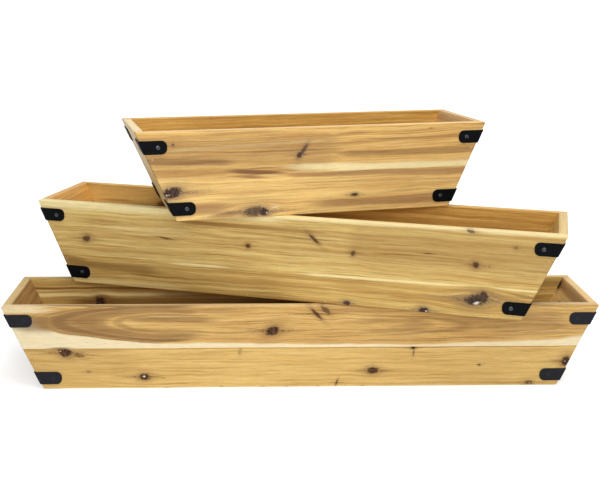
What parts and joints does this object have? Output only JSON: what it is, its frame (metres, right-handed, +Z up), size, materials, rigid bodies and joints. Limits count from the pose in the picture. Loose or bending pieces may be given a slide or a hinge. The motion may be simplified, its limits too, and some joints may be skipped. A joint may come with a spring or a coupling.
{
  "type": "window box planter",
  "caption": "Matched window box planters in stepped lengths, stacked: wooden troughs with leaning ends, slatted floors and black metal corner straps, free to lift apart.",
  "frame": {"origin": "centre of the large planter's underside", "axes": "+Z up, +X along the large planter, -Y towards its front"},
  "size_m": [0.9134, 0.3918, 0.3996],
  "materials": {
    "large_wood": "clear satin oil on knotty acacia, mid brown with cream sapwood",
    "medium_wood": "clear satin oil on knotty acacia, pale olive yellow",
    "small_wood": "clear satin oil on knotty acacia, warm golden brown",
    "slat_wood": "clear oil, planed",
    "strap_metal": "satin black paint",
    "screw_metal": "black satin coating",
    "brad_metal": "dull zinc"
  },
  "bodies": {
    "large_planter": {"large_front_upper_plank": "large_wood", "large_front_lower_plank": "large_wood", "large_back_upper_plank": "large_wood", "large_back_lower_plank": "large_wood", "large_left_end_board": "large_wood", "large_right_end_board": "large_wood", "large_bottom_front_slat": "slat_wood", "large_bottom_middle_slat": "slat_wood", "large_bottom_rear_slat": "slat_wood", "large_front_left_upper_strap": "strap_metal", "large_front_left_lower_strap": "strap_metal", "large_front_right_upper_strap": "strap_metal", "large_front_right_lower_strap": "strap_metal", "large_back_left_upper_strap": "strap_metal", "large_back_left_lower_strap": "strap_metal", "large_back_right_upper_strap": "strap_metal", "large_back_right_lower_strap": "strap_metal", "large_strap_screws": "screw_metal", "large_brads": "brad_metal"},
    "medium_planter": {"medium_front_upper_plank": "medium_wood", "medium_front_lower_plank": "medium_wood", "medium_back_upper_plank": "medium_wood", "medium_back_lower_plank": "medium_wood", "medium_left_end_board": "medium_wood", "medium_right_end_board": "medium_wood", "medium_bottom_front_slat": "slat_wood", "medium_bottom_middle_slat": "slat_wood", "medium_bottom_rear_slat": "slat_wood", "medium_front_left_upper_strap": "strap_metal", "medium_front_left_lower_strap": "strap_metal", "medium_front_right_upper_strap": "strap_metal", "medium_front_right_lower_strap": "strap_metal", "medium_back_left_upper_strap": "strap_metal", "medium_back_left_lower_strap": "strap_metal", "medium_back_right_upper_strap": "strap_metal", "medium_back_right_lower_strap": "strap_metal", "medium_strap_screws": "screw_metal", "medium_brads": "brad_metal"},
    "small_planter": {"small_front_upper_plank": "small_wood", "small_front_lower_plank": "small_wood", "small_back_upper_plank": "small_wood", "small_back_lower_plank": "small_wood", "small_left_end_board": "small_wood", "small_right_end_board": "small_wood", "small_bottom_front_slat": "slat_wood", "small_bottom_middle_slat": "slat_wood", "small_bottom_rear_slat": "slat_wood", "small_front_left_upper_strap": "strap_metal", "small_front_left_lower_strap": "strap_metal", "small_front_right_upper_strap": "strap_metal", "small_front_right_lower_strap": "strap_metal", "small_back_left_upper_strap": "strap_metal", "small_back_left_lower_strap": "strap_metal", "small_back_right_upper_strap": "strap_metal", "small_back_right_lower_strap": "strap_metal", "small_strap_screws": "screw_metal", "small_brads": "brad_metal"}
  },
  "joints": [
    {"name": "medium_lift", "type": "slide", "parent": "large_planter", "child": "medium_planter", "axis": [0, 0, 1], "range_m": [0, 0.2]},
    {"name": "small_lift", "type": "slide", "parent": "medium_planter", "child": "small_planter", "axis": [0, 0, 1], "range_m": [0, 0.2]}
  ]
}
